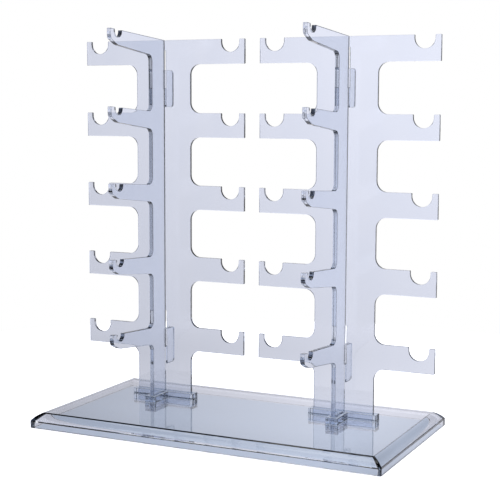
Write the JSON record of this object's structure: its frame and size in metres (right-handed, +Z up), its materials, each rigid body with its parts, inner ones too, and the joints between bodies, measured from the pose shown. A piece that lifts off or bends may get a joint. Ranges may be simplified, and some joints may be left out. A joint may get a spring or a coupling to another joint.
{
  "type": "eyewear display rack",
  "caption": "Clear plastic counter rack for glasses: notched back plates with hooked-on centre fins, standing in the sockets of a bevelled base tray.",
  "frame": {"origin": "middle of the base's footprint, on the surface it stands on", "axes": "+X to the right of someone facing the fins, +Y from the fins' tips to the back of the rack, +Z up"},
  "size_m": [0.345, 0.174, 0.3508],
  "materials": {
    "base_plastic": "clear moulded polystyrene with a pale blue cast, high gloss",
    "column_plastic": "clear moulded polystyrene with a pale blue cast, high gloss"
  },
  "bodies": {
    "base": {"base_tray": "base_plastic"},
    "plate_left": {"back_plate_left": "column_plastic"},
    "fin_left": {"fin_left": "column_plastic"},
    "plate_right": {"back_plate_right": "column_plastic"},
    "fin_right": {"fin_right": "column_plastic"}
  },
  "joints": [
    {"name": "column_left_lift", "type": "slide", "parent": "base", "child": "plate_left", "axis": [0, 0, 1], "range_m": [0, 0.04]},
    {"name": "fin_left_unhook", "type": "slide", "parent": "plate_left", "child": "fin_left", "axis": [0, 0, 1], "range_m": [0, 0.0176]},
    {"name": "column_right_lift", "type": "slide", "parent": "base", "child": "plate_right", "axis": [0, 0, 1], "range_m": [0, 0.04]},
    {"name": "fin_right_unhook", "type": "slide", "parent": "plate_right", "child": "fin_right", "axis": [0, 0, 1], "range_m": [0, 0.0176]}
  ]
}
